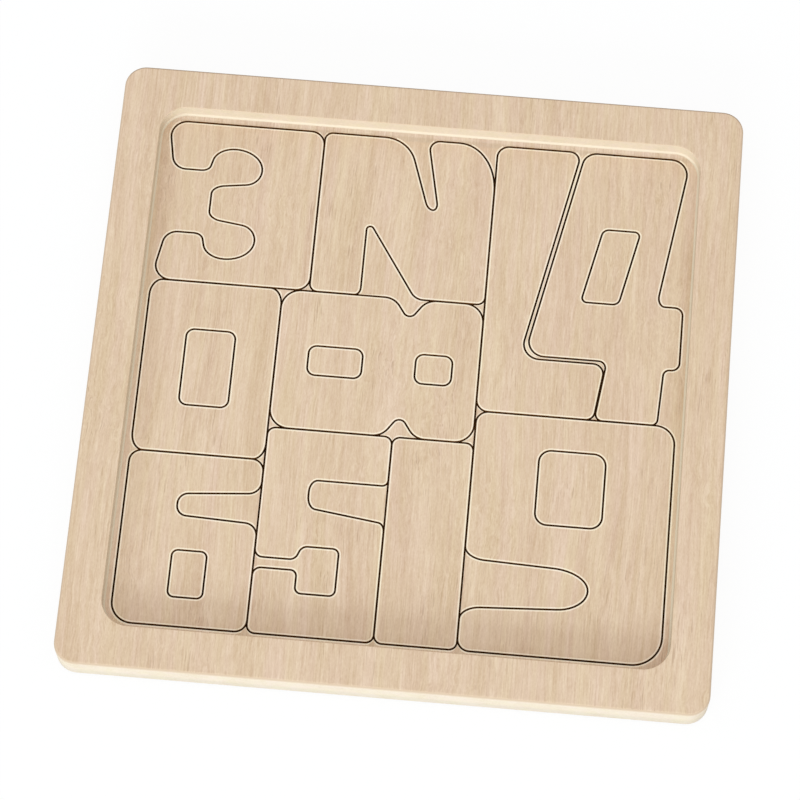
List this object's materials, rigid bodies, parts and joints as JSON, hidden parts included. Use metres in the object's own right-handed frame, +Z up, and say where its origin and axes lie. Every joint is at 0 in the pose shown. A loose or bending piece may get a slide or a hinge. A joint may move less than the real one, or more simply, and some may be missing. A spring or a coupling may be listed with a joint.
{
  "type": "wooden number puzzle",
  "caption": "Square wooden tray puzzle: a routed board whose floor is cut into loose interlocking digits that lift out, over a backing board.",
  "frame": {"origin": "middle of the underside of the tray", "axes": "+Z up out of the tray, the way the digits lift; +Y to the back edge, where the three, two, seven and four lie; +X to the right"},
  "size_m": [0.22, 0.2208, 0.012],
  "materials": {
    "tray_wood": "sanded pale wood, unvarnished",
    "digit_wood": "sanded pale wood, unvarnished, with dark cut edges",
    "backing_wood": "thin plywood"
  },
  "bodies": {
    "tray": {"tray_frame": "tray_wood", "backing_board": "backing_wood", "zero_counter_infill": "tray_wood", "two_notch_infill": "tray_wood", "four_counter_infill": "tray_wood", "five_slot_infill": "tray_wood", "five_keyhole_infill": "tray_wood", "six_slot_infill": "tray_wood", "six_counter_infill": "tray_wood", "eight_left_counter_infill": "tray_wood", "eight_right_counter_infill": "tray_wood", "eight_notch_infill": "tray_wood", "nine_counter_infill": "tray_wood", "nine_slot_infill": "tray_wood", "three_two_eight_corner": "tray_wood", "three_zero_eight_corner": "tray_wood", "two_seven_eight_corner": "tray_wood", "zero_five_eight_corner": "tray_wood", "zero_six_five_corner": "tray_wood", "seven_nine_eight_corner": "tray_wood", "one_nine_eight_corner": "tray_wood", "seven_four_nine_corner": "tray_wood"},
    "zero": {"digit_zero": "digit_wood"},
    "one": {"digit_one": "digit_wood"},
    "two": {"digit_two": "digit_wood"},
    "three": {"digit_three": "digit_wood"},
    "four": {"digit_four": "digit_wood"},
    "five": {"digit_five": "digit_wood"},
    "six": {"digit_six": "digit_wood"},
    "seven": {"digit_seven": "digit_wood"},
    "eight": {"digit_eight": "digit_wood"},
    "nine": {"digit_nine": "digit_wood"}
  },
  "joints": [
    {"name": "zero_lift", "type": "slide", "parent": "tray", "child": "zero", "axis": [0, 0, 1], "range_m": [0, 0.03]},
    {"name": "one_lift", "type": "slide", "parent": "tray", "child": "one", "axis": [0, 0, 1], "range_m": [0, 0.03]},
    {"name": "two_lift", "type": "slide", "parent": "tray", "child": "two", "axis": [0, 0, 1], "range_m": [0, 0.03]},
    {"name": "three_lift", "type": "slide", "parent": "tray", "child": "three", "axis": [0, 0, 1], "range_m": [0, 0.03]},
    {"name": "four_lift", "type": "slide", "parent": "tray", "child": "four", "axis": [0, 0, 1], "range_m": [0, 0.03]},
    {"name": "five_lift", "type": "slide", "parent": "tray", "child": "five", "axis": [0, 0, 1], "range_m": [0, 0.03]},
    {"name": "six_lift", "type": "slide", "parent": "tray", "child": "six", "axis": [0, 0, 1], "range_m": [0, 0.03]},
    {"name": "seven_lift", "type": "slide", "parent": "tray", "child": "seven", "axis": [0, 0, 1], "range_m": [0, 0.03]},
    {"name": "eight_lift", "type": "slide", "parent": "tray", "child": "eight", "axis": [0, 0, 1], "range_m": [0, 0.03]},
    {"name": "nine_lift", "type": "slide", "parent": "tray", "child": "nine", "axis": [0, 0, 1], "range_m": [0, 0.03]}
  ]
}
